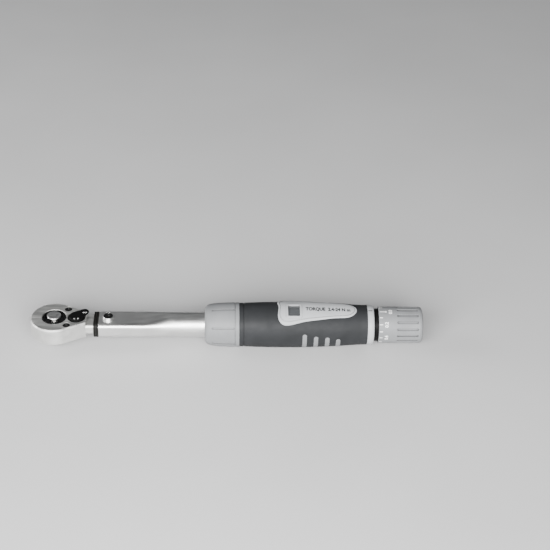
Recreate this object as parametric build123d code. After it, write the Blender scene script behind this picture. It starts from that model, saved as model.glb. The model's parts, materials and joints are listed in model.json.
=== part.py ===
"""Quarter-inch click torque wrench with a reversible ratchet head.

Millimetres. +X runs from the ratchet head to the adjusting knob, +Z is up, towards the reversing lever.
The origin is the centre of the drive square's end face. The wrench axis runs along X at AXIS_Z, and every
piece is drawn about that axis first and then lifted by AXIS_Z.
"""
from build123d import *
from math import asin, atan2, cos, pi, radians, sin
import os

# ---- overall -------------------------------------------------------------------------------------------
AXIS_Z = 16.0            # height of the wrench axis over the drive's end face, just over the grip's radius
RUN = 0.05               # radial clearance of a running fit
GAP = 0.3                # clearance between pieces that move past each other
SEAT = 0.02              # radial clearance of a pressed or glued seat
FAR = 40.0               # length of a cutting shape that has to reach past the surface
SHARP = 0.3              # bevel that breaks a small piece's sharp edge

# ---- ratchet head --------------------------------------------------------------------------------------
HEAD_R = 16.5            # round end of the head
HEAD_HALF = 6.3          # half the head's thickness
HEAD_BEVEL = 0.9         # bevel round the top and bottom faces
NECK_X = 22.0            # where the head's flanks run out into the neck
NECK_HALF_W = 7.2        # half the neck's width
NECK_HALF_T = 3.9        # half the neck's thickness
NECK_ROUND = 2.2         # rounding of the neck's long edges
COVER_T = 1.8            # cover plate thickness
COVER_INSET = 1.2        # rim of the head left round the cover plate
CAVITY_R = 9.3           # gear cavity
CAVITY_FLOOR = -4.3      # height of the cavity floor over the axis
JOURNAL_R = 6.0          # drive gear's lower journal
APERTURE_R = 8.5         # hole in the cover round the gear's collar
COVER_SCREW_X = 9.2
COVER_SCREW_Y = 9.3
COVER_SCREW_R = 2.55     # screw head
COVER_SHANK_R = 1.2
COVER_SOCKET_R = 1.1
COVER_SINK = 1.2         # depth of the screw head's counterbore
COVER_SCREW_END = -1.0
COVER_RIM = 0.25         # bevel round the cover's two holes

# ---- drive gear and quick release ----------------------------------------------------------------------
TEETH = 36
TOOTH_TIP_R = 9.0
TOOTH_ROOT_R = 8.3
GEAR_LOW = -4.1
GEAR_HIGH = 3.9
STEM_ROOM = 0.1          # left under the button's stem when it is pressed
COLLAR_R = 8.2
COLLAR_TOP = 6.1
LOBES = 11               # scallops round the gear's top recess
LOBE_R = 1.9
LOBE_RING = 5.9          # radius of the ring that the scallops' centres lie on
RECESS_R = 6.8           # plain round part of the recess
RECESS_FLOOR = 3.4
SHOULDER = -7.6          # height where the journal ends and the square starts
SQUARE = 6.35            # quarter-inch drive square
SQUARE_EDGE = 0.5        # bevel round the square's end
SQUARE_CORNER = 0.35     # bevel along the square's four edges
BUTTON_R = 4.85
BUTTON_TOP = 8.1
BUTTON_FOOT = 5.9        # underside of the button's head
BUTTON_TRAVEL = 2.2
STEM_R = 1.4
WAIST_R = 0.85           # the stem's groove, which lets the ball in
STEM_LOW = -12.7
SPRING_SEAT = 1.5        # floor of the button spring's counterbore
SPRING_WELL_R = 3.0
BUTTON_SPRING_R = 2.1
BUTTON_WIRE_R = 0.3
BUTTON_COILS = 4
BALL_R = 1.0             # socket detent ball
BALL_PROUD = 0.4
BALL_Z = -12.0

# ---- reversing lever and pawl --------------------------------------------------------------------------
LEVER_X = 15.5           # lever and pawl axis
LEVER_DISC_R = 5.7
LEVER_POCKET_R = 6.2
LEVER_AIM = 44.0         # direction of the thumb tab from +X towards +Y, in degrees
LEVER_REACH = 7.4        # lever axis to the middle of the tab's round end
LEVER_TIP_R = 3.0
TAB_ROOT_R = 5.0         # the tab's flanks run tangent to this circle round the lever's axis
LEVER_DISC_LOW = 4.8
DISC_STEP = 0.5          # the disc lies this far under the tab's top
LEVER_TAB_LOW = 6.6
LEVER_TOP = 7.5
LEVER_SHAFT_R = 2.6
LEVER_SHAFT_LOW = -5.0
LEVER_BORE_R = 1.0       # bore for the lever's detent spring and ball
LEVER_SPRING_R = 0.6
LEVER_WIRE_R = 0.18
LEVER_SPRING_END = 0.85
LEVER_BALL_R = 0.85
RIVET_R = 0.75
RIVET_DEPTH = 0.6
RIVET_PROUD = 0.25
RIVETS = ((-3.35, -1.75), (-1.15, -3.3), (6.15, -0.55), (7.35, -1.7))  # in the lever's frame, tab along +X
PAWL_HALF = 4.2
PAWL_FACE_R = 9.6
PAWL_TURN = 4.0          # how far the pawl leans from its middle position, in degrees
CHAMBER_FLOOR = -3.6
CHAMBER_HALF = 5.6

# ---- tube and click mechanism --------------------------------------------------------------------------
TUBE_R = 8.75
TUBE_WALL = 1.6
TUBE_FRONT = 30.7
TUBE_REAR = 219.0
FLAT_END = 62.0          # the flattened front section ends here
ROUND_START = 88.0       # the tube is round from here on
FLAT_W = 18.6
FLAT_T = 11.4
FLAT_CORNER = 3.0
LOFT_STEPS = 6
SEAL_X = 27.5
SEAL_GROOVE = 0.45       # width of the two grooves round the seal
SEAL_GROOVE_D = 0.35
SEAL_LAND = 0.75         # from the seal's end to its groove
SWING = 0.85             # room beside the neck for the click
PIN_X = 37.6             # pivot pin of the click joint
PIN_R = 3.1
PIN_HEAD_R = 3.9
PIN_PROUD = 1.8
PLUG_R = 3.3             # plug in the pin's head
PLUG_T = 1.3
PLUG_SOCKET_R = 1.3
TAIL_X = 56.0            # end of the head's tail inside the tube
TAIL_HALF_W = 5.6
TAIL_HALF_T = 3.8
BLOCK = 5.0              # tilt block, a cube
BLOCK_BORE_R = 0.8       # drilled through along the block's tilt axis
BLOCK_X = 59.4           # middle of the tilt block
PLUNGER_X = 62.8
PLUNGER_REAR = 100.0
NOSE_HALF = 3.4          # half the width of the plunger's square nose
SPRING_REAR = 150.0
SPRING_MEAN_R = 5.4
SPRING_WIRE_R = 1.05
SPRING_COILS = 9
WINDOW_SLOT_HALF = 3.6   # half the width of the tube's slot under the window

# ---- adjuster ------------------------------------------------------------------------------------------
NUT_REAR = 188.0
NUT_TRAVEL = 13.25       # forward from rest; the whole travel is 13.75 turns of a 1 mm pitch
NUT_BACK = 0.5           # back from rest to the lowest setting
SCREW_R = 4.0
SCREW_FRONT = 156.0
FLANGE_X = 200.0
FLANGE_R = 6.4
WASHER_X = 203.6
WASHER_T = 1.5
BUSH_X = 205.3
BUSH_REAR = 221.0
BUSH_FLANGE_R = 10.0
HEX_X = 222.0
HEX_REAR = 247.2
HEX_FLATS = 8.0
END_BORE = 9.0           # depth of the hole for the knob screw
END_SCREW_R = 1.45
END_WASHER_R = 6.0
END_WASHER_T = 1.0
END_HEAD_R = 2.8
END_HEAD_REAR = 250.4
END_SOCKET_R = 1.45
GUIDE_X = 155.0          # guide pin that stops the nut turning
GUIDE_R = 1.4
SCALE_X = 160.0
SCALE_REAR = 187.0
SCALE_SINK = 0.75        # the nut is turned down by this for the scale slider

# ---- grip ----------------------------------------------------------------------------------------------
GRIP_ROLL = 8.0          # the window faces this far from +Z towards -Y, in degrees
COLLAR_X = 104.8
GRIP_X = 128.9
GRIP_REAR = 217.8
CORE_R = 12.6
LIP_X = 131.4            # shallow groove behind the rubber's front lip
LIP_W = 0.9
LIP_D = 0.3
GRIP_PROFILE = [(GRIP_X, 15.2), (140, 15.6), (152, 15.88), (162, 15.95), (172, 15.88), (187, 15.45),
                (200, 14.85), (210, 14.1), (GRIP_REAR, 13.9)]
PANEL_PROUD = 0.65
PANEL_DEPTH = 1.3
PANEL_BEVEL = 0.5
PANEL_MEAN_HALF_W = 9.0
PANEL_GROOVE_IN = 1.6    # from the panel's edge to the far side of its border groove
PANEL_GROOVE_W = 0.5
PANEL_GROOVE_D = 0.3
PANEL_X = 155.5
PANEL_TIP = 210.5
PANEL_FLANK = [(PANEL_X, 4.5), (156.1, 9.0), (158.3, 11.2), (162.2, 11.8), (171.3, 10.3), (185, 8.4),
               (198, 6.9), (205.5, 5.8), (209.2, 3.2)]
WINDOW_X = 166.6
WINDOW_Y = -2.3          # the window lies this far to the front of the panel's middle line
WINDOW_L = 8.3
WINDOW_W = 9.4
WINDOW_RIM = 1.3         # width of the window's frame
WINDOW_CORNER = 0.5
WELL_L = 7.5             # opening under the window, down to the scale slider
WELL_W = 7.2
WELL_LOW = 3.0
LENS_SINK = 0.35         # the lens lies this far under the grip's surface
FRAME_PROUD = 0.4        # how far the window's frame stands over the panel
GILLS = [(174.1, 71.0), (182.0, 78.0), (189.9, 81.5), (197.5, 88.0)]  # place, angle of the top end from +Z
GILL_W = 2.9
GILL_LOW = -14.4         # lower end of the ribs, under the grip
GILL_RING = 15.5         # about the grip's radius at the ribs
GILL_ROOT = 3.4          # the ribs grow out of the core this far under the grip's surface
COLLAR_GROOVES = 7
COLLAR_GROOVE_X = 109.6
COLLAR_GROOVE_REAR = 125.6
COLLAR_GROOVE_W = 1.5
COLLAR_GROOVE_D = 0.5
COLLAR_OUTER_R = 15.5
RIM_LINE_W = 0.6         # line round the collar at the grooves' rear ends
RIM_LINE_D = 0.35
COLLAR_GROOVE_AT = 12.5  # first groove from +Z towards -Y, in degrees

# ---- knob ----------------------------------------------------------------------------------------------
RING_REAR = 222.5
SLEEVE_R = 11.4
SLEEVE_REAR = 228.6
SLEEVE_BORE_R = 5.4
HOOP_X = 227.55          # rubber ring in the sleeve's groove
HOOP_R = 0.5
KNOB_X = 225.8
KNOB_REAR = 256.7
KNOB_R = 12.8
KNOB_FLUTES = 16
FLUTE_X = 238.4
FLUTE_REAR = 253.6
FLUTE_W = 2.0
FLUTE_D = 1.0
FLUTE_AT = 1.5           # first flute from +Z towards -Y, in degrees
KNOB_BORE_REAR = 232.2
INSERT_X = 234.0
INSERT_REAR = 247.0
INSERT_R = 7.6
THROAT_R = 5.2           # the knob's bore in front of its insert
HOLLOW_R = 8.0           # the knob's bore behind its insert
CAP_R = 9.0
CAP_T = 1.8
CAP_DISH_R = 6.6         # shallow round recess in the cap


def bar(x0, x1, radius, hole=0.0):
    """A round bar or tube along X."""
    solid = Plane((x0, 0, 0), z_dir=(1, 0, 0)) * extrude(Circle(radius), x1 - x0)
    if hole:
        solid -= Plane((x0 - 1, 0, 0), z_dir=(1, 0, 0)) * extrude(Circle(hole), x1 - x0 + 2)
    return solid


def post(x, y, z0, z1, radius):
    """A round post along Z."""
    return Pos(x, y, (z0 + z1) / 2) * Cylinder(radius, z1 - z0)


def block(x0, x1, half_y, z0, z1):
    """A box centred on the XZ plane."""
    return Pos((x0 + x1) / 2, 0, (z0 + z1) / 2) * Box(x1 - x0, 2 * half_y, z1 - z0)


def turned(*points):
    """A solid of revolution about X from (x, radius) corners."""
    return revolve(Plane.XZ * make_face(Polyline(*points, close=True)), Axis.X)


def roll(shape, degrees):
    """Turn a shape about the wrench axis, from +Z towards -Y."""
    return shape.rotate(Axis.X, degrees)


def flat_section(x, grow=0.0, blend=0.0):
    """The tube's section at x: blend 0 is the flattened section and 1 is the round one."""
    width = FLAT_W + (2 * TUBE_R - FLAT_W) * blend + 2 * grow
    height = FLAT_T + (2 * TUBE_R - FLAT_T) * blend + 2 * grow
    corner = FLAT_CORNER + grow + (TUBE_R - FLAT_CORNER) * blend
    corner = min(corner, min(width, height) / 2 - 0.01)
    return Plane((x, 0, 0), x_dir=(0, 1, 0), z_dir=(1, 0, 0)) * RectangleRounded(width, height, corner)


def flat_bar(x0, x1, grow=0.0):
    """A bar of the flattened section along X."""
    return extrude(flat_section(x0, grow), x1 - x0)


# ---- ratchet head --------------------------------------------------------------------------------------
def pear(inset):
    """Plan of the head: a round end with straight flanks running into the neck."""
    radius = HEAD_R - inset
    half = NECK_HALF_W - inset
    reach = (NECK_X**2 + half**2) ** 0.5
    turn = atan2(half, NECK_X) + pi / 2 - asin(radius / reach)
    touch_x = radius * cos(turn)
    touch_y = radius * sin(turn)
    flanks = Polyline((touch_x, touch_y), (NECK_X, half), (NECK_X, -half), (touch_x, -touch_y), close=True)
    return Circle(radius) + make_face(flanks)


def slab(sketch, z0, z1):
    """Extrude an XY sketch from z0 to z1."""
    return Pos(0, 0, z0) * extrude(sketch, z1 - z0)


def head_body():
    rim = chamfer_rim(slab(pear(0), -HEAD_HALF, HEAD_HALF))
    neck = block(NECK_X - 8, TAIL_X - 6, NECK_HALF_W, -NECK_HALF_T, NECK_HALF_T)
    neck = fillet(neck.edges().filter_by(Axis.X), NECK_ROUND)
    tail = block(SEAL_X + 4, TAIL_X, TAIL_HALF_W, -TAIL_HALF_T, TAIL_HALF_T)
    tail = chamfer(tail.edges().filter_by(Axis.X), 1.0)
    neck = split(neck, bisect_by=Plane((SEAL_X + 5, 0, 0), z_dir=(1, 0, 0)), keep=Keep.BOTTOM)
    head = rim + neck + tail
    head -= slab(pear(COVER_INSET - SEAT), HEAD_HALF - COVER_T, HEAD_HALF + 1)
    head -= post(0, 0, CAVITY_FLOOR, HEAD_HALF, CAVITY_R)
    head -= post(0, 0, -HEAD_HALF - 1, 0, JOURNAL_R + RUN)
    head -= block(CAVITY_R - 2, LEVER_X, CHAMBER_HALF, CHAMBER_FLOOR, HEAD_HALF)
    head -= post(LEVER_X, 0, CHAMBER_FLOOR, HEAD_HALF, LEVER_SHAFT_R + 1.6)
    head -= post(LEVER_X, 0, LEVER_SHAFT_LOW - 0.2, 0, LEVER_SHAFT_R + RUN)
    for side in (1, -1):
        x, y = COVER_SCREW_X, side * COVER_SCREW_Y
        head -= post(x, y, COVER_SCREW_END - 0.2, HEAD_HALF, COVER_SHANK_R + SEAT)
    return head - post(PIN_X, 0, -HEAD_HALF, HEAD_HALF, PIN_R + RUN)


def chamfer_rim(solid):
    """Bevel the top and bottom edges of the head's plan, but not the edges across the neck."""
    ends = solid.edges().filter_by(GeomType.CIRCLE) + solid.edges().filter_by(GeomType.LINE)
    flat = [e for e in ends if abs(e.center().Z) > HEAD_HALF - 0.1 and e.center().X < NECK_X - 0.5]
    return chamfer(flat, HEAD_BEVEL)


def cover_plate():
    plate = slab(pear(COVER_INSET), HEAD_HALF - COVER_T, HEAD_HALF)
    plate -= post(0, 0, 0, HEAD_HALF + 1, APERTURE_R)
    plate -= post(LEVER_X, 0, 0, HEAD_HALF + 1, LEVER_POCKET_R)
    rims = [e for e in plate.edges().filter_by(GeomType.CIRCLE) if e.center().Z > HEAD_HALF - 0.1]
    rims = [e for e in rims if e.radius < APERTURE_R + 0.1]
    plate = chamfer(rims, COVER_RIM)
    for side in (1, -1):
        x, y = COVER_SCREW_X, side * COVER_SCREW_Y
        plate -= post(x, y, 0, HEAD_HALF, COVER_SHANK_R + 0.2)
        plate -= post(x, y, HEAD_HALF - COVER_SINK, HEAD_HALF + 1, COVER_SCREW_R + 0.15)
    return plate


def cover_screws():
    screws = []
    for side in (1, -1):
        x, y = COVER_SCREW_X, side * COVER_SCREW_Y
        screw = post(x, y, HEAD_HALF - COVER_SINK, HEAD_HALF - 0.25, COVER_SCREW_R)
        screw = chamfer(screw.edges().group_by(Axis.Z)[-1], SHARP)
        screw += post(x, y, COVER_SCREW_END, HEAD_HALF - COVER_SINK + 0.1, COVER_SHANK_R)
        socket = extrude(RegularPolygon(COVER_SOCKET_R, 6), 1)
        screws.append(screw - Pos(x, y, HEAD_HALF - 0.95) * socket)
    return screws


def drive_gear():
    corners = []
    for i in range(TEETH):
        for radius, step in ((TOOTH_ROOT_R, 0.0), (TOOTH_TIP_R, 0.5)):
            turn = 2 * pi * (i + step) / TEETH
            corners.append((radius * cos(turn), radius * sin(turn)))
    gear = slab(make_face(Polyline(*corners, close=True)), GEAR_LOW, GEAR_HIGH)
    collar = post(0, 0, GEAR_HIGH - 0.5, COLLAR_TOP, COLLAR_R)
    gear += chamfer(collar.edges().group_by(Axis.Z)[-1], 0.25)
    scallops = Circle(RECESS_R)
    for i in range(LOBES):
        turn = 2 * pi * (i + 0.5) / LOBES
        scallops += Pos(LOBE_RING * cos(turn), LOBE_RING * sin(turn)) * Circle(LOBE_R)
    gear -= slab(scallops, RECESS_FLOOR, COLLAR_TOP + 1)
    journal = post(0, 0, SHOULDER, GEAR_LOW + 0.5, JOURNAL_R)
    gear += chamfer(journal.edges().group_by(Axis.Z)[0], 0.6)
    square = Pos(0, 0, (SHOULDER - AXIS_Z) / 2) * Box(SQUARE, SQUARE, SHOULDER + AXIS_Z)
    square = chamfer(square.edges().filter_by(Axis.Z), SQUARE_CORNER)
    gear += chamfer(square.edges().group_by(Axis.Z)[0], SQUARE_EDGE)
    gear -= post(0, 0, STEM_LOW - BUTTON_TRAVEL - STEM_ROOM, COLLAR_TOP, STEM_R + RUN)
    gear -= post(0, 0, SPRING_SEAT, COLLAR_TOP, SPRING_WELL_R)
    well = Plane((0, 0, BALL_Z), z_dir=(0, -1, 0)) * extrude(Circle(BALL_R + RUN), SQUARE)
    return gear - well


def quick_release_button():
    dish = [(0, 7.45), (1.6, 7.6), (2.9, 7.95), (3.3, BUTTON_TOP), (4.5, BUTTON_TOP - 0.1)]
    flank = [(BUTTON_R, BUTTON_TOP - 0.5), (BUTTON_R, 7.0), (3.7, BUTTON_FOOT), (STEM_R, BUTTON_FOOT)]
    groove = BALL_Z + BUTTON_TRAVEL
    stem = [(STEM_R, groove + 1.5), (WAIST_R, groove + 1.2)]
    stem += [(WAIST_R, groove - 1.2), (STEM_R, groove - 1.5)]
    foot = [(STEM_R, STEM_LOW), (0, STEM_LOW)]
    profile = Plane.XZ * make_face(Polyline(*dish, *flank, *stem, *foot, close=True))
    return revolve(profile, Axis.Z)


def coil(start, end, mean, wire, turns, along):
    """A helical spring between two places on an axis, with its ends inside them."""
    height = end - start - 2 * wire
    path = Helix(pitch=height / turns, height=height, radius=mean)
    rod = sweep(Plane(origin=path @ 0, z_dir=path % 0) * Circle(wire), path=path, is_frenet=True)
    if along == Axis.X:
        return Pos(start + wire, 0, 0) * Rot(0, 90, 0) * rod
    return Pos(0, 0, start + wire) * rod


def button_spring():
    return coil(SPRING_SEAT, BUTTON_FOOT, BUTTON_SPRING_R, BUTTON_WIRE_R, BUTTON_COILS, Axis.Z)


def detent_ball():
    return Pos(0, -(SQUARE / 2 + BALL_PROUD - BALL_R), BALL_Z) * Sphere(BALL_R)


def tab_outline():
    """Plan of the lever about its own axis: a disc running into a narrower thumb tab."""
    lean = asin((TAB_ROOT_R - LEVER_TIP_R) / LEVER_REACH)
    corners = []
    for radius, x in ((TAB_ROOT_R, 0.0), (LEVER_TIP_R, LEVER_REACH)):
        corners.append((x + radius * sin(lean), radius * cos(lean)))
    low = [(x, -y) for x, y in reversed(corners)]
    return make_face(Polyline(*corners, *low, close=True)) + Pos(LEVER_REACH, 0) * Circle(LEVER_TIP_R)


def reversing_lever():
    disc = post(0, 0, LEVER_DISC_LOW, LEVER_TOP - DISC_STEP, LEVER_DISC_R)
    disc = chamfer(disc.edges().group_by(Axis.Z)[-1], DISC_STEP)
    tab = slab(tab_outline() + Circle(TAB_ROOT_R), LEVER_TAB_LOW, LEVER_TOP)
    tab = chamfer(tab.edges().group_by(Axis.Z)[-1], SHARP)
    lever = disc + tab + post(0, 0, LEVER_SHAFT_LOW, LEVER_DISC_LOW + 0.5, LEVER_SHAFT_R)
    bore = Plane((0, 0, 0), z_dir=(1, 0, 0)) * extrude(Circle(LEVER_BORE_R), LEVER_SHAFT_R + 1)
    lever -= bore
    for x, y in RIVETS:
        lever -= post(x, y, LEVER_TOP - RIVET_DEPTH, LEVER_TOP + 1, RIVET_R + SEAT)
    return Pos(LEVER_X, 0, 0) * lever.rotate(Axis.Z, LEVER_AIM)


def lever_rivets():
    rivets = []
    for x, y in RIVETS:
        rivet = post(x, y, LEVER_TOP - RIVET_DEPTH, LEVER_TOP + RIVET_PROUD, RIVET_R)
        rivet = fillet(rivet.edges().group_by(Axis.Z)[-1], RIVET_PROUD - 0.03)
        rivets.append(Pos(LEVER_X, 0, 0) * rivet.rotate(Axis.Z, LEVER_AIM))
    return rivets


def lever_spring():
    spring = coil(0.1, LEVER_SPRING_END, LEVER_SPRING_R, LEVER_WIRE_R, 1.2, Axis.X)
    return Pos(LEVER_X, 0, 0) * spring.rotate(Axis.Z, LEVER_AIM)


def lever_ball():
    ball = Pos(LEVER_SHAFT_R - LEVER_BALL_R - 0.03, 0, 0) * Sphere(LEVER_BALL_R)
    return Pos(LEVER_X, 0, 0) * ball.rotate(Axis.Z, LEVER_AIM)


def ratchet_pawl():
    front = CAVITY_R + 0.2
    cheek = make_face(Polyline((front - LEVER_X, PAWL_HALF), (-2, PAWL_HALF - 0.6), (-2, 0.6 - PAWL_HALF),
                               (front - LEVER_X, -PAWL_HALF), close=True))
    plan = cheek + Circle(LEVER_SHAFT_R + 1.2)
    plan -= Pos(-LEVER_X, 0) * Circle(PAWL_FACE_R)
    plan -= Circle(LEVER_SHAFT_R + RUN)
    pawl = slab(plan, CHAMBER_FLOOR + GAP, GEAR_HIGH)
    return Pos(LEVER_X, 0, 0) * pawl.rotate(Axis.Z, PAWL_TURN)


# ---- tube and click mechanism --------------------------------------------------------------------------
def neck_seal():
    seal = flat_bar(SEAL_X, TUBE_FRONT - SEAT)
    seal = chamfer(seal.edges().filter_by(Plane.YZ), SHARP)
    for x in (SEAL_X + SEAL_LAND, TUBE_FRONT - SEAL_LAND - SEAL_GROOVE):
        seal -= flat_bar(x, x + SEAL_GROOVE, 1.0) - flat_bar(x, x + SEAL_GROOVE, -SEAL_GROOVE_D)
    half_w = NECK_HALF_W + SWING
    return seal - block(SEAL_X - 1, TUBE_FRONT, half_w, -NECK_HALF_T - 0.4, NECK_HALF_T + 0.4)


def tube_run(grow):
    """The tube's whole outer or inner volume: flattened front, a smooth change of section, round rear."""
    front = flat_bar(TUBE_FRONT, FLAT_END, grow)
    sections = []
    for i in range(LOFT_STEPS + 1):
        share = i / LOFT_STEPS
        blend = share * share * (3 - 2 * share)
        sections.append(flat_section(FLAT_END + (ROUND_START - FLAT_END) * share, grow, blend))
    rear = extrude(flat_section(ROUND_START, grow, 1.0), TUBE_REAR - ROUND_START)
    return front + loft(sections) + rear


def tube():
    body = tube_run(0.0)
    front = [e for e in body.edges() if abs(e.center().X - TUBE_FRONT) < 0.01]
    body = chamfer(front, 0.5)
    body -= tube_run(-TUBE_WALL)
    body -= post(PIN_X, 0, -TUBE_R, TUBE_R, PIN_R + SEAT)
    slot = block(WINDOW_X - WINDOW_L / 2, WINDOW_X + WINDOW_L / 2, WINDOW_SLOT_HALF, 0, TUBE_R + 1)
    body -= roll(slot, GRIP_ROLL)
    slot_front = GUIDE_X - NUT_TRAVEL - GUIDE_R - GAP
    slot_rear = GUIDE_X + NUT_BACK + GUIDE_R + GAP
    return body - block(slot_front, slot_rear, GUIDE_R + GAP, -TUBE_R - 1, 0)


def pivot_pin():
    top = FLAT_T / 2 + PIN_PROUD
    pin = post(PIN_X, 0, -FLAT_T / 2 - 0.4, FLAT_T / 2 + 0.5, PIN_R)
    pin = chamfer(pin.edges().group_by(Axis.Z)[0], SHARP)
    flange = post(PIN_X, 0, FLAT_T / 2 + SEAT, top, PIN_HEAD_R)
    pin += chamfer(flange.edges().group_by(Axis.Z)[-1], SHARP)
    return pin - post(PIN_X, 0, top - PLUG_T, top + 1, PLUG_R + SEAT)


def pin_plug():
    """Black plug pressed into the pivot pin's head, with a hexagon socket."""
    top = FLAT_T / 2 + PIN_PROUD
    plug = post(PIN_X, 0, top - PLUG_T, top - 0.1, PLUG_R)
    plug = chamfer(plug.edges().group_by(Axis.Z)[-1], 0.25)
    return plug - Pos(PIN_X, 0, top - 0.9) * extrude(RegularPolygon(PLUG_SOCKET_R, 6), 2)


def tilt_block():
    cube = Pos(BLOCK_X, 0, 0) * Box(BLOCK, BLOCK, BLOCK)
    return chamfer(cube.edges(), 0.4) - post(BLOCK_X, 0, -BLOCK, BLOCK, BLOCK_BORE_R)


def plunger():
    nose = block(PLUNGER_X, ROUND_START + 4, NOSE_HALF, -NOSE_HALF, NOSE_HALF)
    nose = chamfer(nose.edges().filter_by(Axis.X), 0.6)
    skirt = bar(ROUND_START + 2, PLUNGER_REAR - 0.1, TUBE_R - TUBE_WALL - RUN)
    return nose + chamfer(skirt.edges(), 0.4)


def main_spring():
    return coil(PLUNGER_REAR, SPRING_REAR, SPRING_MEAN_R, SPRING_WIRE_R, SPRING_COILS, Axis.X)


# ---- adjuster ------------------------------------------------------------------------------------------
def adjusting_nut():
    bore = TUBE_R - TUBE_WALL
    nut = bar(SPRING_REAR + 0.1, SCALE_X, bore - RUN) + bar(SCALE_X, NUT_REAR, bore - SCALE_SINK)
    nut -= bar(SPRING_REAR + 4, NUT_REAR + 1, SCREW_R + RUN)
    return nut - post(GUIDE_X, 0, -TUBE_R, -SCREW_R, GUIDE_R + SEAT)


def guide_pin():
    return post(GUIDE_X, 0, 0.4 - TUBE_R, -SCREW_R - 0.6, GUIDE_R)


def scale_slider():
    bore = TUBE_R - TUBE_WALL
    return bar(SCALE_X + SEAT, SCALE_REAR, bore - 0.1, bore - SCALE_SINK + SEAT)


def adjusting_screw():
    screw = bar(SCREW_FRONT, HEX_X + 1, SCREW_R) + bar(FLANGE_X, WASHER_X - 0.1, FLANGE_R)
    screw = chamfer(screw.edges().group_by(Axis.X)[0], 0.6)
    hexagon = Plane((HEX_X, 0, 0), z_dir=(1, 0, 0)) * extrude(
        RegularPolygon(HEX_FLATS / 2, 6, major_radius=False), HEX_REAR - HEX_X)
    return screw + hexagon - bar(HEX_REAR - END_BORE, HEX_REAR + 1, END_SCREW_R + RUN)


def knob_screw():
    shank = bar(HEX_REAR - END_BORE + 1, HEX_REAR + 0.5, END_SCREW_R)
    washer = bar(HEX_REAR + RUN, HEX_REAR + RUN + END_WASHER_T, END_WASHER_R)
    head = bar(HEX_REAR + END_WASHER_T, END_HEAD_REAR, END_HEAD_R)
    socket = Plane((END_HEAD_REAR, 0, 0), z_dir=(-1, 0, 0)) * extrude(RegularPolygon(END_SOCKET_R, 6), 1.6)
    return shank + washer + head - socket


def thrust_washer():
    return bar(WASHER_X, WASHER_X + WASHER_T, TUBE_R - TUBE_WALL - 0.1, SCREW_R + 0.4)


def rear_bushing():
    bush = bar(BUSH_X, TUBE_REAR + 1, TUBE_R - TUBE_WALL - SEAT)
    bush += bar(TUBE_REAR + SEAT, BUSH_REAR, BUSH_FLANGE_R)
    return bush - bar(BUSH_X - 1, BUSH_REAR + 1, SCREW_R + RUN)


# ---- grip ----------------------------------------------------------------------------------------------
def grip_form(grow):
    """The grip's outer volume, a body of revolution about the wrench axis."""
    spine = Spline(*[(x, r + grow) for x, r in GRIP_PROFILE])
    rim = Polyline(spine @ 1, (GRIP_REAR, 0), (GRIP_X, 0), spine @ 0)
    return revolve(Plane.XZ * make_face(spine + rim), Axis.X)


def panel_outline(inset=0.0):
    """Plan of the inlay panel, a broad end drawn out to a rounded tip, made smaller by about the inset."""
    middle = (PANEL_X + PANEL_TIP) / 2
    along = 1 - 2 * inset / (PANEL_TIP - PANEL_X)
    across = 1 - inset / PANEL_MEAN_HALF_W
    flank = [(middle + (x - middle) * along, y * across) for x, y in PANEL_FLANK]
    lower = [(x, -y) for x, y in reversed(flank)]
    tip = (middle + (PANEL_TIP - middle) * along, 0)
    return make_face(Spline(*flank, tip, *lower, periodic=True))


def shell_piece(sketch, inner_grow, outer_grow):
    """The part of the grip's wall over an XY sketch, between two depths from its surface."""
    column = Pos(0, 0, 2) * extrude(sketch, FAR)
    return column & (grip_form(outer_grow) - grip_form(inner_grow))


def inlay_panel():
    panel = shell_piece(panel_outline(), -PANEL_DEPTH, PANEL_PROUD)
    rim = [e for e in panel.edges() if e.length > 40 and e.center().Z > panel.center().Z]
    panel = chamfer(rim, PANEL_BEVEL, PANEL_BEVEL)
    panel -= Pos(0, 0, 2) * extrude(window_plan(WINDOW_RIM), FAR)
    border = panel_outline(PANEL_GROOVE_IN - PANEL_GROOVE_W) - panel_outline(PANEL_GROOVE_IN)
    panel -= shell_piece(border, PANEL_PROUD - PANEL_GROOVE_D, PANEL_PROUD + 1)
    return roll(panel, GRIP_ROLL)


def window_plan(grow):
    """Plan of the window, made wider all round."""
    corner = WINDOW_CORNER + max(grow, 0) / 2
    return Pos(WINDOW_X, WINDOW_Y) * RectangleRounded(WINDOW_L + 2 * grow, WINDOW_W + 2 * grow, corner)


def window_frame():
    ring = window_plan(WINDOW_RIM - SEAT) - window_plan(0)
    return roll(shell_piece(ring, -PANEL_DEPTH, PANEL_PROUD + FRAME_PROUD), GRIP_ROLL)


def window_lens():
    return roll(shell_piece(window_plan(-SEAT), -PANEL_DEPTH, -LENS_SINK), GRIP_ROLL)


def gills(inner_grow, outer_grow):
    """Ribs that come up through the rubber, on both sides and round underneath."""
    shell = grip_form(outer_grow) - grip_form(inner_grow)
    ribs = []
    for x, top in GILLS:
        high = GILL_RING * cos(radians(top))
        outline = Pos(x, (high + GILL_LOW) / 2) * RectangleRounded(GILL_W, high - GILL_LOW, GILL_W / 2 - 0.02)
        for side in (1, -1):
            ribs.append(shell & Plane.XZ * extrude(outline, side * FAR))
    return ribs


def window_well():
    return Pos(WINDOW_X, WINDOW_Y / 2, WELL_LOW + FAR / 2) * Box(WELL_L, WELL_W, FAR)


def grip_core():
    core = bar(GRIP_X, GRIP_REAR, CORE_R, TUBE_R + SEAT)
    for rib in gills(-GILL_ROOT, 0.0):
        core += rib
    return roll(core - window_well(), GRIP_ROLL)


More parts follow.
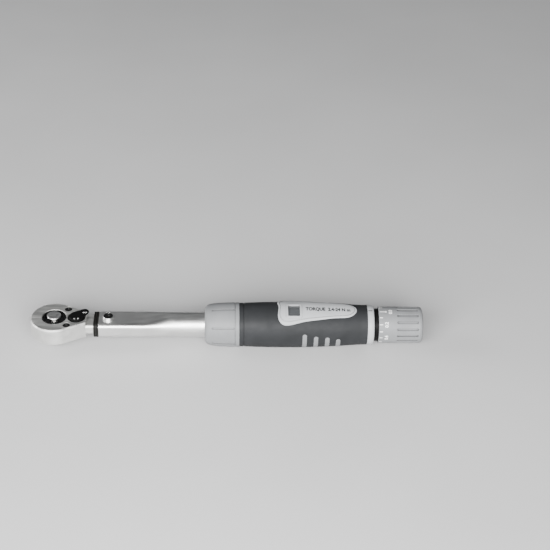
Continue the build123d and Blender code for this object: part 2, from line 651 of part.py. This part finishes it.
def rubber_grip():
    sleeve = grip_form(0.0) - bar(GRIP_X - 1, GRIP_REAR + 1, CORE_R + SEAT)
    sleeve -= Pos(0, 0, 2) * extrude(panel_outline(), FAR) - grip_form(-PANEL_DEPTH - SEAT)
    sleeve -= window_well()
    sleeve -= bar(LIP_X, LIP_X + LIP_W, FAR) - grip_form(-LIP_D)
    for rib in gills(-GILL_ROOT - 0.5, 0.5):
        sleeve -= rib
    return roll(sleeve, GRIP_ROLL)


def front_collar():
    profile = [(COLLAR_X, TUBE_R + SEAT), (COLLAR_X, 11.6), (105.4, 12.6), (106.6, 13.7), (108.4, 14.35),
               (111, 14.8), (115, 15.15), (120, 15.4), (125, COLLAR_OUTER_R), (GRIP_X - 0.4, COLLAR_OUTER_R),
               (GRIP_X - SEAT, 15.1), (GRIP_X - SEAT, TUBE_R + SEAT)]
    collar = turned(*profile)
    surface = turned(*[(x, r - COLLAR_GROOVE_D) for x, r in profile[1:-1]], (GRIP_X, 0), (COLLAR_X, 0))
    length = COLLAR_GROOVE_REAR - COLLAR_GROOVE_X
    groove = Pos(COLLAR_GROOVE_X + length / 2, 0, AXIS_Z) * Box(length, COLLAR_GROOVE_W, 10)
    groove = fillet(groove.edges().filter_by(Axis.Z), COLLAR_GROOVE_W / 2 - 0.02) - surface
    for i in range(COLLAR_GROOVES):
        collar -= roll(groove, COLLAR_GROOVE_AT + i * 360 / COLLAR_GROOVES)
    x = COLLAR_GROOVE_REAR
    return collar - bar(x, x + RIM_LINE_W, FAR, COLLAR_OUTER_R - RIM_LINE_D)


# ---- ring, lock sleeve and knob ------------------------------------------------------------------------
def rear_ring():
    x0 = GRIP_REAR + SEAT
    outside = [(x0, 13.5), (x0 + 0.3, 13.8), (220.6, 13.75), (RING_REAR - 0.5, 13.45), (RING_REAR, 12.9)]
    bore = []
    for radius, front, rear in ((SLEEVE_R, BUSH_REAR, RING_REAR), (BUSH_FLANGE_R, TUBE_REAR, BUSH_REAR),
                                (TUBE_R, x0, TUBE_REAR)):
        bore += [(rear, radius + SEAT), (front, radius + SEAT)]
    return turned(*outside, *bore)


def lock_sleeve():
    sleeve = bar(BUSH_REAR + SEAT, SLEEVE_REAR, SLEEVE_R, SLEEVE_BORE_R)
    sleeve = chamfer(sleeve.edges().group_by(Axis.X)[-1], 0.4)
    half = HOOP_R + 0.05
    return sleeve - bar(HOOP_X - half, HOOP_X + half, SLEEVE_R + 1, SLEEVE_R - 0.8)


def lock_ring():
    """Rubber ring in the lock sleeve's groove, which holds the knob where it is pushed or pulled."""
    return revolve(Plane.XZ * Pos(HOOP_X, SLEEVE_R - HOOP_R + 0.22) * Circle(HOOP_R), Axis.X)


def knob():
    profile = [(KNOB_X, SLEEVE_R + GAP), (KNOB_X, 12.35), (KNOB_X + 0.35, KNOB_R - 0.1), (240, KNOB_R),
               (KNOB_REAR - 2.2, KNOB_R - 0.1), (KNOB_REAR - 0.9, KNOB_R - 0.55),
               (KNOB_REAR - 0.2, KNOB_R - 1.6), (KNOB_REAR, 10.4), (KNOB_REAR, CAP_R),
               (KNOB_REAR - CAP_T, CAP_R), (KNOB_REAR - CAP_T, HOLLOW_R),
               (INSERT_REAR, HOLLOW_R), (INSERT_REAR, INSERT_R + SEAT), (INSERT_X, INSERT_R + SEAT),
               (INSERT_X, THROAT_R), (KNOB_BORE_REAR, THROAT_R), (KNOB_BORE_REAR, SLEEVE_R + GAP)]
    body = turned(*profile)
    flute = Pos((FLUTE_X + FLUTE_REAR) / 2, 0, KNOB_R - FLUTE_D + 2) * Box(FLUTE_REAR - FLUTE_X, FLUTE_W, 4)
    flute = fillet(flute.edges().filter_by(Axis.Z), FLUTE_W / 2 - 0.02)
    for i in range(KNOB_FLUTES):
        body -= roll(flute, FLUTE_AT + i * 360 / KNOB_FLUTES)
    return body


def knob_insert():
    hexagon = Plane((INSERT_X, 0, 0), z_dir=(1, 0, 0)) * extrude(
        RegularPolygon(HEX_FLATS / 2 + RUN, 6, major_radius=False), 40)
    return bar(INSERT_X + SEAT, INSERT_REAR, INSERT_R) - hexagon


def knob_cap():
    front = KNOB_REAR - CAP_T + SEAT
    rear = KNOB_REAR - 0.1
    radius = CAP_R - SEAT
    cap = turned((front, 0), (front, radius), (rear - 0.25, radius), (rear, radius - 0.28), (rear, 0))
    return cap - bar(rear - 0.4, rear + 1, CAP_DISH_R)


PIECES = {
    "head_body": head_body,
    "cover_plate": cover_plate,
    "cover_screws": cover_screws,
    "drive_gear": drive_gear,
    "quick_release_button": quick_release_button,
    "button_spring": button_spring,
    "detent_ball": detent_ball,
    "reversing_lever": reversing_lever,
    "lever_rivets": lever_rivets,
    "lever_spring": lever_spring,
    "lever_ball": lever_ball,
    "ratchet_pawl": ratchet_pawl,
    "neck_seal": neck_seal,
    "tube": tube,
    "pivot_pin": pivot_pin,
    "pin_plug": pin_plug,
    "tilt_block": tilt_block,
    "plunger": plunger,
    "main_spring": main_spring,
    "adjusting_nut": adjusting_nut,
    "guide_pin": guide_pin,
    "scale_slider": scale_slider,
    "adjusting_screw": adjusting_screw,
    "knob_screw": knob_screw,
    "thrust_washer": thrust_washer,
    "rear_bushing": rear_bushing,
    "grip_core": grip_core,
    "rubber_grip": rubber_grip,
    "inlay_panel": inlay_panel,
    "window_frame": window_frame,
    "window_lens": window_lens,
    "front_collar": front_collar,
    "rear_ring": rear_ring,
    "lock_sleeve": lock_sleeve,
    "lock_ring": lock_ring,
    "knob": knob,
    "knob_insert": knob_insert,
    "knob_cap": knob_cap,
}


os.makedirs("parts", exist_ok=True)
for name, make in PIECES.items():
    made = make()
    solids = made if isinstance(made, list) else [made]
    lifted = [Pos(0, 0, AXIS_Z) * solid for solid in solids]
    whole = lifted[0] if len(lifted) == 1 else Compound(children=lifted)
    export_step(whole, f"parts/{name}.step")
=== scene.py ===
"""Quarter-inch click torque wrench: finishes, prints, stage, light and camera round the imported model."""
import json
from math import cos, radians, sin, tan

import bmesh
import bpy
from mathutils import Matrix, Vector
from mathutils.bvhtree import BVHTree

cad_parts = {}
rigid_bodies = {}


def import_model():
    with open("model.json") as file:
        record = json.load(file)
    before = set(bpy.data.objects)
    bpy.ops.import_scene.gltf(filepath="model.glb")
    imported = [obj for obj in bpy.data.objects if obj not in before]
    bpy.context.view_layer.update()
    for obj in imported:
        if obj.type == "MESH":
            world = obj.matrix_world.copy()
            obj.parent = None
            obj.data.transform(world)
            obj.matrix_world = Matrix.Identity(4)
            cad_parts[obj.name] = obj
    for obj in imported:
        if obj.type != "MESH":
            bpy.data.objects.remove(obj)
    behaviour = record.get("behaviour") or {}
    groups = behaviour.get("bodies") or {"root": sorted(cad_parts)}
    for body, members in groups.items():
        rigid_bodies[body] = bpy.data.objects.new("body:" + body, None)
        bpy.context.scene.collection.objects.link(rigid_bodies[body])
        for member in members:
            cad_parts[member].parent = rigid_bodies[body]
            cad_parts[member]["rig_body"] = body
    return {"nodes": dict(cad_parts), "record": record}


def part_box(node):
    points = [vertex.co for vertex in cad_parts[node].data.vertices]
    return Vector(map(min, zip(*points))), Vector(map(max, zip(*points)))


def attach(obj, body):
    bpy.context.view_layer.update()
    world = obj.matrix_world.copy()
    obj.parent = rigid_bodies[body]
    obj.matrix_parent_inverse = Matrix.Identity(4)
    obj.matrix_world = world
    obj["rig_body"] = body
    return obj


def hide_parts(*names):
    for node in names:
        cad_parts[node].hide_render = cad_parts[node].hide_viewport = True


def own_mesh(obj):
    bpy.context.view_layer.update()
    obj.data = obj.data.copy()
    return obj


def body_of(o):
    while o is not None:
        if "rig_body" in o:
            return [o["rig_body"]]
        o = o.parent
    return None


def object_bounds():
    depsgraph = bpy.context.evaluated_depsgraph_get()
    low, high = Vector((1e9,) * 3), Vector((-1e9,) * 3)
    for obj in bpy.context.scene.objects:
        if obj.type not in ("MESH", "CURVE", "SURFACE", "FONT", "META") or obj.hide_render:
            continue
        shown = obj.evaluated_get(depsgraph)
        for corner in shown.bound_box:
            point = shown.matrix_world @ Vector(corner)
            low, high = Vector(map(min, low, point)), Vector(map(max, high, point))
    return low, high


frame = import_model()
cad_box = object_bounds()

MM = 0.001

# ---- places read from the frame ------------------------------------------------------------------------
knob_low, knob_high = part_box("knob")
ring_low, ring_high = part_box("rear_ring")
slider_low, slider_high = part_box("scale_slider")
window_low, window_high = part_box("window_lens")
AXIS_Z = (knob_low.z + knob_high.z) / 2
KNOB_R = (knob_high.z - knob_low.z) / 2
RING_R = (ring_high.z - ring_low.z) / 2
SLIDER_R = (slider_high.z - slider_low.z) / 2
INDEX_ROLL = radians(8.5)          # the index line stands this far from +Z towards -Y
WINDOW_ROLL = radians(16.0)        # and the middle of the window this far

# ---- camera --------------------------------------------------------------------------------------------
SENSOR = 36.0
FIELD = radians(21.0)              # angle across the picture
PITCH = radians(35.0)              # downward tilt of the camera
YAW = radians(2.0)                 # the knob's end is a little further away
ROLL = radians(1.3)
RANGE = 1.04                       # metres from the camera to the wrench
AIM_X = 153.8 * MM                 # place on the wrench axis that stands in the picture's middle column
AIM_DOWN = radians(1.911)          # how far that place lies below the line of sight
CLIP_NEAR = 0.01
CLIP_FAR = 20


# ---- node trees ----------------------------------------------------------------------------------------
BEVEL_SAMPLES = 6
CREASE_SAMPLES = 8
COLOUR_A = 6                       # the Mix node's colour sockets
COLOUR_B = 7
COLOUR_RESULT = 2
EDGE_FAINT = 0.02                  # 1 minus the cosine of a bevelled normal's turn, where the painted edge highlight begins
EDGE_FULL = 0.25                   # and where it is complete
CREASE_FULL = 0.35                 # open share of the sky where a crease gets the full painted shade
CREASE_NONE = 0.85                 # and where there is none


class Surface:
    """One material, built from nodes round a Principled shader. Lengths are in metres."""

    def __init__(self, name, bevel, metallic=0.0):
        self.material = bpy.data.materials.new(name)
        self.material.use_nodes = True
        self.tree = self.material.node_tree
        self.shader = self.tree.nodes["Principled BSDF"]
        self.shader.inputs["Metallic"].default_value = metallic
        self.coords = self.node("ShaderNodeTexCoord").outputs["Object"]
        rounded = self.node("ShaderNodeBevel")
        rounded.samples = BEVEL_SAMPLES
        rounded.inputs["Radius"].default_value = bevel
        self.normal = rounded.outputs["Normal"]

    def node(self, kind, **settings):
        made = self.tree.nodes.new(kind)
        for key, value in settings.items():
            setattr(made, key, value)
        return made

    def link(self, source, target):
        self.tree.links.new(source, target)

    def noise(self, size, detail=3.0, stretch=(1, 1, 1)):
        """Noise with features of about the given size, longer along an axis whose stretch is over 1."""
        mapping = self.node("ShaderNodeMapping")
        mapping.inputs["Scale"].default_value = [1 / s for s in stretch]
        texture = self.node("ShaderNodeTexNoise")
        texture.inputs["Scale"].default_value = 1 / size
        texture.inputs["Detail"].default_value = detail
        self.link(self.coords, mapping.inputs["Vector"])
        self.link(mapping.outputs["Vector"], texture.inputs["Vector"])
        return texture.outputs["Fac"]

    def span(self, value, low, high, start=0.3, stop=0.7):
        """Map a value from start..stop to low..high."""
        ranged = self.node("ShaderNodeMapRange")
        for key, number in (("From Min", start), ("From Max", stop), ("To Min", low), ("To Max", high)):
            ranged.inputs[key].default_value = number
        self.link(value, ranged.inputs["Value"])
        return ranged.outputs["Result"]

    def mix(self, factor, first, second):
        """Blend two colours, each a socket or an (r, g, b)."""
        mixer = self.node("ShaderNodeMix", data_type="RGBA")
        self.link(factor, mixer.inputs["Factor"])
        for value, socket in ((first, mixer.inputs[COLOUR_A]), (second, mixer.inputs[COLOUR_B])):
            if isinstance(value, tuple):
                socket.default_value = (*value, 1)
            else:
                self.link(value, socket)
        return mixer.outputs[COLOUR_RESULT]

    def edges(self):
        """A mask of the piece's sharp edges, where a highlight is painted into the colour."""
        geometry = self.node("ShaderNodeNewGeometry")
        facing = self.node("ShaderNodeVectorMath", operation="DOT_PRODUCT")
        self.link(self.normal, facing.inputs[0])
        self.link(geometry.outputs["Normal"], facing.inputs[1])
        return self.span(facing.outputs["Value"], 1.0, 0.0, 1 - EDGE_FULL, 1 - EDGE_FAINT)

    def creases(self, reach):
        """A mask of inner corners and grooves, where shade is painted into the colour."""
        shade = self.node("ShaderNodeAmbientOcclusion")
        shade.samples = CREASE_SAMPLES
        shade.inputs["Distance"].default_value = reach
        return self.span(shade.outputs["AO"], 1.0, 0.0, CREASE_FULL, CREASE_NONE)

    def bump(self, height, depth, strength):
        relief = self.node("ShaderNodeBump")
        relief.inputs["Strength"].default_value = strength
        relief.inputs["Distance"].default_value = depth
        self.link(height, relief.inputs["Height"])
        self.link(self.normal, relief.inputs["Normal"])
        self.normal = relief.outputs["Normal"]

    def finish(self, colour, roughness):
        self.link(colour, self.shader.inputs["Base Color"])
        self.link(roughness, self.shader.inputs["Roughness"])
        self.link(self.normal, self.shader.inputs["Normal"])
        return self.material


METAL_BEVEL = 0.15 * MM
METAL_CLOUD = 9 * MM               # size of the clouding
METAL_SMEAR = 3 * MM               # size of the smears that vary the gloss
METAL_RELIEF = 0.006 * MM
EDGE_HIGHLIGHT_GAIN = 1.25                      # edges carry a painted highlight this much brighter


def metal(name, bright, dull, rough, grain, lay=(1, 1, 1)):
    """Plated or bare steel: faint clouding, a fine grain that may lie one way, and a painted highlight along
    sharp edges.
    """
    surface = Surface(name, METAL_BEVEL, metallic=1.0)
    clouds = surface.noise(METAL_CLOUD)
    colour = surface.mix(surface.span(clouds, 0, 1), dull, bright)
    # painted highlight: sharp edges are coloured lighter
    colour = surface.mix(surface.edges(), colour, tuple(min(1.0, c * EDGE_HIGHLIGHT_GAIN) for c in bright))
    smears = surface.noise(METAL_SMEAR, detail=5.0, stretch=(4, 1, 1))
    roughness = surface.span(smears, rough * 0.8, rough * 1.25)
    surface.bump(surface.noise(grain, detail=2.0, stretch=lay), METAL_RELIEF, strength=0.5)
    return surface.finish(colour, roughness)


PLASTIC_CLOUD = 14 * MM
PLASTIC_SPECK = 0.6 * MM
PLASTIC_SMEAR = 5 * MM
CREASE_REACH = 1.6 * MM            # a crease narrower than about this gets painted shade
CREASE_SHADE_TONE = 0.25                        # the painted shade's colour, as a share of the dark tone


def plastic(name, light, dark, rough, grain=0.25 * MM, depth=0.012 * MM, edge_highlight=None, bevel=0.2 * MM,
            shine=0.5):
    """Moulded plastic or rubber: fine even grain, slight clouding, painted shade in creases and a painted
    highlight along edges.
    """
    surface = Surface(name, bevel)
    surface.shader.inputs["Specular IOR Level"].default_value = shine
    clouds = surface.noise(PLASTIC_CLOUD, detail=4.0)
    colour = surface.mix(surface.span(clouds, 0, 1), dark, light)
    specks = surface.noise(PLASTIC_SPECK, detail=2.0)
    colour = surface.mix(surface.span(specks, 0.0, 0.25, start=0.45, stop=0.8), colour, dark)
    if edge_highlight:
        # painted highlight: sharp edges take the lighter colour
        colour = surface.mix(surface.edges(), colour, edge_highlight)
    # painted shade: the colour darkens in creases, grooves and gaps between parts, where shade falls
    colour = surface.mix(surface.creases(CREASE_REACH), colour, tuple(c * CREASE_SHADE_TONE for c in dark))
    roughness = surface.span(surface.noise(PLASTIC_SMEAR), rough * 0.88, rough * 1.12)
    surface.bump(surface.noise(grain, detail=2.0), depth, strength=0.7)
    return surface.finish(colour, roughness)


FLAT_BEVEL = 0.1 * MM              # the window and the floor


def smoked_glass():
    surface = Surface("smoked_window", FLAT_BEVEL)
    tint = surface.mix(surface.span(surface.noise(6 * MM), 0, 1), (0.16, 0.17, 0.18), (0.24, 0.25, 0.26))
    surface.shader.inputs["Transmission Weight"].default_value = 0.75
    surface.shader.inputs["IOR"].default_value = 1.47
    return surface.finish(tint, surface.span(surface.noise(2 * MM), 0.04, 0.10))


def pale_floor():
    surface = Surface("studio_floor", FLAT_BEVEL)
    clouds = surface.noise(180 * MM)
    colour = surface.mix(surface.span(clouds, 0, 1), (0.56, 0.56, 0.56), (0.60, 0.60, 0.60))
    return surface.finish(colour, surface.span(surface.noise(40 * MM), 0.55, 0.65))


FINISHES = {
    "satin_chrome": metal("satin_chrome", (0.74, 0.74, 0.73), (0.66, 0.66, 0.65), 0.36, 0.3 * MM, (2, 1, 1)),
    "matt_chrome": metal("matt_chrome", (0.76, 0.76, 0.74), (0.66, 0.66, 0.64), 0.5, 0.4 * MM),
    "polished_steel": metal("polished_steel", (0.80, 0.80, 0.79), (0.70, 0.70, 0.69), 0.3, 0.5 * MM),
    "dark_steel": metal("dark_steel", (0.07, 0.07, 0.07), (0.04, 0.04, 0.04), 0.42, 0.3 * MM),
    "spring_steel": metal("spring_steel", (0.5, 0.49, 0.47), (0.4, 0.39, 0.37), 0.3, 0.3 * MM, (1, 3, 3)),
    "machined_steel": metal("machined_steel", (0.52, 0.52, 0.52), (0.44, 0.44, 0.44), 0.3, 0.3 * MM,
                            (1, 6, 6)),
    "black_plastic": plastic("black_plastic", (0.007, 0.007, 0.007), (0.004, 0.004, 0.004), 0.45, shine=0.05),
    "grey_plastic": plastic("grey_plastic", (0.215, 0.22, 0.225), (0.18, 0.185, 0.19), 0.5,
                            edge_highlight=(0.5, 0.51, 0.52), shine=0.35),
    "panel_plastic": plastic("panel_plastic", (0.44, 0.45, 0.46), (0.38, 0.39, 0.40), 0.4,
                             depth=0.006 * MM, edge_highlight=(0.62, 0.63, 0.64)),
    "white_plastic": plastic("white_plastic", (0.94, 0.94, 0.93), (0.9, 0.9, 0.89), 0.5),
    "grip_rubber": plastic("grip_rubber", (0.024, 0.025, 0.027), (0.017, 0.018, 0.019), 0.6,
                           grain=0.35 * MM, depth=0.03 * MM, bevel=0.3 * MM, shine=0.18),
    "seal_rubber": plastic("seal_rubber", (0.016, 0.016, 0.015), (0.010, 0.010, 0.009), 0.5, shine=0.15),
    "window_glass": smoked_glass(),
}


def dress(obj, finish):
    obj.data.materials.clear()
    obj.data.materials.append(FINISHES[finish])


def dress_nodes():
    """Give every CAD node the finish of its slot in the record."""
    for entry in frame["record"]["subparts"]:
        obj = frame["nodes"][entry["node"]]
        for slot in obj.material_slots:
            slot.material = FINISHES[entry["material_slot"]]


# ---- springs -------------------------------------------------------------------------------------------
def live_spring(node):
    """A copy of the rigid spring in spring steel, riding on the same body, in place of the rigid one.
    """
    solid = frame["nodes"][node]
    piece = bpy.data.objects.new(f"{node}_coils", solid.data.copy())
    piece.matrix_world = solid.matrix_world.copy()
    bpy.context.scene.collection.objects.link(piece)
    dress(piece, "spring_steel")
    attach(piece, body_of(solid)[0])
    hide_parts(node)
    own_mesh(piece)


# ---- printed marks -------------------------------------------------------------------------------------
PRINT_RISE = 0.03 * MM             # how far a print stands over its surface
PRINT_SINK = 0.03 * MM             # and how far it reaches in
PRINT_SLICE = 0.3 * MM             # a print is cut this finely before it is wrapped round
FONT_SIZE = 1.4                    # font size over the height of its capitals
STROKE_GAIN = 0.055                # strokes are widened by this share of the height
MERGE = 1e-7                       # outline points nearer than this are one


def wrap(mesh, radius, x, roll):
    """Bend a flat print round the wrench axis. Its x stays along X, and its y runs up over the top."""
    for vertex in mesh.verts:
        turn = roll - vertex.co.y / radius
        reach = radius + vertex.co.z
        vertex.co = Vector((x + vertex.co.x, -reach * sin(turn), AXIS_Z + reach * cos(turn)))


def slice_up(mesh, low, high):
    """Cut a flat print into strips, so that it can bend."""
    place = low + PRINT_SLICE
    while place < high:
        everything = mesh.verts[:] + mesh.edges[:] + mesh.faces[:]
        bmesh.ops.bisect_plane(mesh, geom=everything, plane_co=(0, place, 0), plane_no=(0, 1, 0))
        place += PRINT_SLICE


def add_piece(mesh, name, body, finish):
    """Put a print in the scene, riding on its body."""
    data = bpy.data.meshes.new(name)
    mesh.to_mesh(data)
    mesh.free()
    piece = bpy.data.objects.new(name, data)
    bpy.context.scene.collection.objects.link(piece)
    dress(piece, finish)
    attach(piece, body)


def bar_print(width_x, width_y, shift_x=0.0):
    """A flat printed bar, as a closed slab."""
    mesh = bmesh.new()
    bmesh.ops.create_cube(mesh, size=1)
    middle = (PRINT_RISE - PRINT_SINK) / 2
    size = Matrix.Diagonal((width_x, width_y, PRINT_RISE + PRINT_SINK, 1))
    bmesh.ops.transform(mesh, matrix=Matrix.Translation((shift_x, 0, middle)) @ size, verts=mesh.verts)
    slice_up(mesh, -width_y / 2, width_y / 2)
    return mesh


def text_print(words, height, along=False):
    """Flat printed words as a closed slab.

    Their heads face -X and start at x = 0, or with along the words run along X from x = 0.
    """
    curve = bpy.data.curves.new("numeral", "FONT")
    curve.body = words
    curve.size = height * FONT_SIZE
    curve.extrude = (PRINT_RISE + PRINT_SINK) / 2
    curve.offset = height * STROKE_GAIN
    curve.align_x = "LEFT" if along else "CENTER"
    holder = bpy.data.objects.new("numeral", curve)
    bpy.context.scene.collection.objects.link(holder)
    bpy.context.view_layer.update()
    data = bpy.data.meshes.new_from_object(holder.evaluated_get(bpy.context.evaluated_depsgraph_get()))
    mesh = bmesh.new()
    mesh.from_mesh(data)
    bpy.data.objects.remove(holder)
    bpy.data.curves.remove(curve)
    bpy.data.meshes.remove(data)
    bmesh.ops.remove_doubles(mesh, verts=mesh.verts, dist=MERGE)
    if along:
        place = Matrix.Translation((0, -height / 2, 0))
    else:
        place = Matrix.Translation((height, 0, 0)) @ Matrix.Rotation(radians(90), 4, "Z")
    bmesh.ops.transform(mesh, matrix=place, verts=mesh.verts)
    slice_up(mesh, -height, height)
    return mesh


def gather(target, part):
    """Add one print's mesh to another's."""
    data = bpy.data.meshes.new("part")
    part.to_mesh(data)
    part.free()
    target.from_mesh(data)
    bpy.data.meshes.remove(data)


DIVISIONS = 16                     # a turn of the knob is 1.6 N m, in steps of 0.1
NUMERAL_STEP = 2                   # every second tick has a numeral
MARKS_IN = 0.5 * MM                # from the knob's front edge to the ticks
TICK_LONG = 4.4 * MM
TICK_SHORT = 2.2 * MM
TICK_W = 0.6 * MM
DOT = 1.3 * MM
NUMERAL_H = 2.3 * MM
NUMERAL_X = 3.6 * MM               # from the start of the ticks to the numerals' heads
ZERO_X = 6.4 * MM                  # the same for the zero, which stands beyond its dot
RANGE_H = 2.4 * MM                 # the words on the panel
RANGE_IN = 4.0 * MM                # from the window to the words
RANGE_ROLL = radians(11.0)
INDEX_SHARE = 0.62                 # length of the index line, as a share of the ring's
INDEX_W = 0.6 * MM
INDEX_X = 2.0 * MM                 # from the ring's front edge to the middle of the line
THREAD_PITCH = 1.0 * MM            # the slider moves this far for each turn of the knob
SLIDER_TURNS = range(-2, 14)       # the turns that have a tick, with 0 in the window's middle at rest
SLIDER_FIFTH = 5                   # one tick in five is long
SLIDER_LONG = 3.4 * MM
SLIDER_SHORT = 2.0 * MM
SLIDER_TICK_W = 0.22 * MM


def knob_scale():
    """Sixteen ticks and eight numerals round the knob's front rim, read from the knob's rear end."""
    marks = bmesh.new()
    start = knob_low.x + MARKS_IN
    for i in range(DIVISIONS):
        roll = INDEX_ROLL + radians(i * 360 / DIVISIONS)
        length = TICK_LONG if i == 0 else TICK_SHORT
        tick = bar_print(length, TICK_W, length / 2)
        wrap(tick, KNOB_R, start, roll)
        gather(marks, tick)
        if i % NUMERAL_STEP == 0:
            numeral = text_print(f"{i / 10:.1f}", NUMERAL_H)
            wrap(numeral, KNOB_R, start + (ZERO_X if i == 0 else NUMERAL_X), roll)
            gather(marks, numeral)
    dot = bar_print(DOT, DOT, TICK_LONG)
    wrap(dot, KNOB_R, start, INDEX_ROLL)
    gather(marks, dot)
    add_piece(marks, "knob_scale_print", "knob", "white_plastic")


def lay_on(mesh, node, x, roll):
    """Bend a flat print onto a node's outer surface. Its x stays along X, and its y runs up over the top."""
    skin = BVHTree.FromObject(frame["nodes"][node], bpy.context.evaluated_depsgraph_get())
    place = frame["nodes"][node].matrix_world.inverted()
    for vertex in mesh.verts:
        turn = roll - vertex.co.y / RING_R
        outward = Vector((0, -sin(turn), cos(turn)))
        middle = Vector((x + vertex.co.x, 0, AXIS_Z))
        hit = skin.ray_cast(place @ (middle + outward * 2 * RING_R), place.to_3x3() @ -outward)[0]
        reach = (frame["nodes"][node].matrix_world @ hit - middle).length
        vertex.co = middle + outward * (reach + vertex.co.z)


def range_print():
    """The wrench's range in plain words along the panel."""
    words = text_print("TORQUE  2.4-24 N m", RANGE_H, along=True)
    lay_on(words, "inlay_panel", window_high.x + RANGE_IN, RANGE_ROLL)
    add_piece(words, "range_print", "handle", "black_plastic")


def index_line():
    """The black line on the rear ring that the knob's scale is read against."""
    line = bar_print((ring_high.x - ring_low.x) * INDEX_SHARE, INDEX_W)
    wrap(line, RING_R, ring_low.x + INDEX_X, INDEX_ROLL)
    add_piece(line, "index_line", "handle", "black_plastic")


def slider_scale():
    """The main scale on the slider: a tick each turn of 1 mm, which is 1.6 N m, longer at every fifth."""
    marks = bmesh.new()
    middle = (window_low.x + window_high.x) / 2
    for turn in SLIDER_TURNS:
        tick = bar_print(SLIDER_TICK_W, SLIDER_LONG if turn % SLIDER_FIFTH == 0 else SLIDER_SHORT)
        wrap(tick, SLIDER_R, middle + turn * THREAD_PITCH, WINDOW_ROLL)
        gather(marks, tick)
    add_piece(marks, "slider_scale_print", "nut", "black_plastic")


# ---- stage, light and camera ---------------------------------------------------------------------------
FLOOR_SIZE = 8
FLOOR_BACK = 1.0                   # the floor's middle lies this far behind the wrench
FLOOR_DROP = 0.1 * MM              # and this far under it
WORLD_TINT = (0.95, 0.97, 1.0, 1)
WORLD_STRENGTH = 0.13
SOFTBOXES = (                      # name, place, width and height, watts
    ("front", (AIM_X - 0.15, -0.95, 0.52), (1.3, 0.6), 49.0),
    ("left", (-0.85, 0.1, 0.45), (0.4, 0.5), 5.0),
    ("back_rim", (AIM_X, 0.9, 0.75), (1.2, 0.25), 0.2),
)


def floor():
    place = (AIM_X, FLOOR_BACK, cad_box[0].z - FLOOR_DROP)
    bpy.ops.mesh.primitive_plane_add(size=FLOOR_SIZE, location=place)
    plane = bpy.context.object
    plane.name = "studio_floor"
    plane.data.materials.append(pale_floor())


def softbox(name, place, size, power):
    """A rectangular area light that faces the middle of the wrench."""
    lamp = bpy.data.lights.new(name, "AREA")
    lamp.shape = "RECTANGLE"
    lamp.size, lamp.size_y = size
    lamp.energy = power
    aim = Vector((AIM_X, 0, AXIS_Z))
    holder = bpy.data.objects.new(name, lamp)
    holder.location = place
    holder.rotation_mode = "QUATERNION"
    holder.rotation_quaternion = (aim - Vector(place)).to_track_quat("-Z", "Y")
    bpy.context.scene.collection.objects.link(holder)


def lights():
    world = bpy.data.worlds.new("studio")
    world.use_nodes = True
    background = world.node_tree.nodes["Background"]
    background.inputs["Color"].default_value = WORLD_TINT
    background.inputs["Strength"].default_value = WORLD_STRENGTH
    bpy.context.scene.world = world
    for name, place, size, power in SOFTBOXES:
        softbox(name, place, size, power)


def camera():
    look = Vector((sin(YAW) * cos(PITCH), cos(YAW) * cos(PITCH), -sin(PITCH)))
    right = look.cross(Vector((0, 0, 1))).normalized()
    up = right.cross(look)
    turn = Matrix.Rotation(-ROLL, 3, look)
    right, up = turn @ right, turn @ up
    ray = look - up * tan(AIM_DOWN)
    lens = bpy.data.cameras.new("camera")
    lens.sensor_width = SENSOR
    lens.lens = SENSOR / 2 / tan(FIELD / 2)
    lens.clip_start = CLIP_NEAR
    lens.clip_end = CLIP_FAR
    holder = bpy.data.objects.new("camera", lens)
    bpy.context.scene.collection.objects.link(holder)
    facing = Matrix((right, up, -look)).transposed()
    holder.matrix_world = Matrix.Translation(Vector((AIM_X, 0, AXIS_Z)) - ray * RANGE) @ facing.to_4x4()
    bpy.context.scene.camera = holder


dress_nodes()
live_spring("main_spring")
live_spring("button_spring")
knob_scale()
index_line()
range_print()
slider_scale()
floor()
lights()
camera()

bpy.context.view_layer.update()
